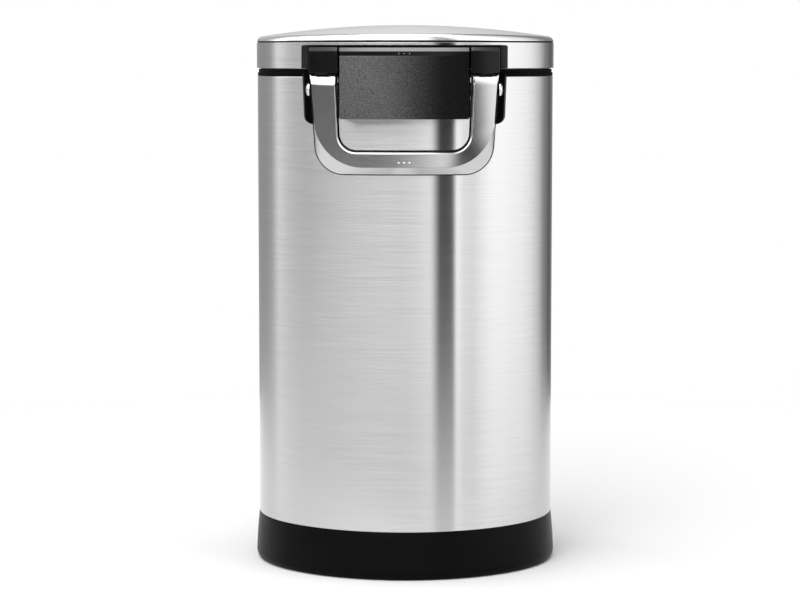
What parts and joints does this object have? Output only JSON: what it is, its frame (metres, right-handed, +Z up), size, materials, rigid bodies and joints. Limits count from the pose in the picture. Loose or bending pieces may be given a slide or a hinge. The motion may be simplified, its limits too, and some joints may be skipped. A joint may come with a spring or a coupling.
{
  "type": "storage bin",
  "caption": "Oval brushed steel storage bin with a domed rear-hinged lid, black flared base, black front catch housing and a curved steel bail.",
  "frame": {"origin": "centre of the oval body on the floor, on the underside of the rubber pad", "axes": "+Z up, front and bail towards -Y, hinge towards +Y, +X to the right seen from the front"},
  "size_m": [0.3104, 0.315, 0.5518],
  "materials": {
    "base_black": "fine matte",
    "rubber_black": "matte",
    "steel_brushed": "brushed round the body",
    "collar_grey": "satin",
    "bucket_grey": "satin",
    "frame_black": "satin",
    "panel_black": "fine grain",
    "block_black": "semi-gloss",
    "catch_rubber": "matte",
    "screw_zinc": "zinc",
    "pivot_bright": "polished",
    "spacer_nylon": "satin",
    "pin_steel": "ground",
    "cap_black": "satin",
    "lid_steel": "brushed, softly polished shoulder",
    "liner_black": "satin",
    "gasket_grey": "soft silicone",
    "bail_steel": "satin brushed",
    "backing_black": "matte"
  },
  "bodies": {
    "can": {"base_skirt": "base_black", "base_pad": "rubber_black", "body_shell": "steel_brushed", "collar": "collar_grey", "inner_bucket": "bucket_grey", "front_bracket": "frame_black", "centre_panel": "panel_black", "bracket_screws": "screw_zinc", "pivot_screws": "pivot_bright", "pivot_spacers": "spacer_nylon", "hinge_bracket": "frame_black", "hinge_pin": "pin_steel", "hinge_caps": "cap_black", "hinge_bracket_screws": "screw_zinc"},
    "lid": {"lid_shell": "lid_steel", "lid_liner": "liner_black", "lid_gasket": "gasket_grey", "lid_housing": "frame_black", "catch_block_left": "block_black", "catch_block_right": "block_black", "catch_pads": "catch_rubber", "housing_screws": "screw_zinc", "hinge_arm": "frame_black", "hinge_arm_screws": "screw_zinc"},
    "bail": {"bail_bar": "bail_steel", "bail_backing": "backing_black", "bail_screws": "screw_zinc"}
  },
  "joints": [
    {"name": "lid_hinge", "type": "hinge", "parent": "can", "child": "lid", "pos_m": [0, 0.147, 0.514], "axis": [-1, 0, 0], "range_deg": [0, 95]},
    {"name": "bail_swing", "type": "hinge", "parent": "can", "child": "bail", "pos_m": [0, -0.139, 0.4877], "axis": [-1, 0, 0], "range_deg": [0, 100]}
  ]
}
